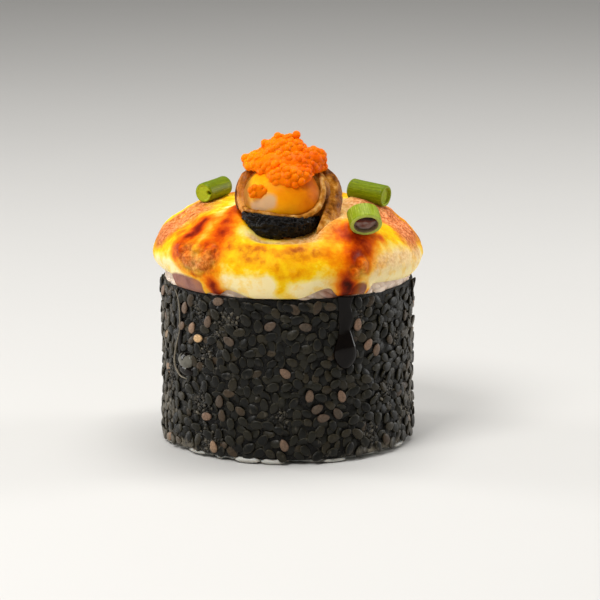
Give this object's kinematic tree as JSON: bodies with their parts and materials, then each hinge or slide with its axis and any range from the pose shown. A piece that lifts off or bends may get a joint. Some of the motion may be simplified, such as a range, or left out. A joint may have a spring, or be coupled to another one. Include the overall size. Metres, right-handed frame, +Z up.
{
  "type": "mussel sushi roll",
  "caption": "Thick sushi roll standing on its cut end: a rice core in a sleeve of pressed black sesame, a baked domed cap, and a mussel with fish roe and cut spring onion.",
  "frame": {"origin": "under the middle of the roll, on the surface that it stands on", "axes": "+Z up along the roll, -Y towards the side where the mussel sits, +X to the right seen from there"},
  "size_m": [0.0545, 0.0545, 0.0646],
  "materials": {
    "sushi_rice": "moist",
    "black_sesame": "satin",
    "baked_crust": "satin, browned in patches",
    "mussel_flesh": "wet",
    "fish_roe": "wet",
    "spring_onion": "waxy"
  },
  "bodies": {
    "root": {"rice_core": "sushi_rice", "sesame_coat": "black_sesame", "baked_cap": "baked_crust", "mussel": "mussel_flesh", "roe_heap": "fish_roe", "roe_clump": "fish_roe", "spring_onion_left": "spring_onion", "spring_onion_back": "spring_onion", "spring_onion_front": "spring_onion"}
  },
  "joints": []
}
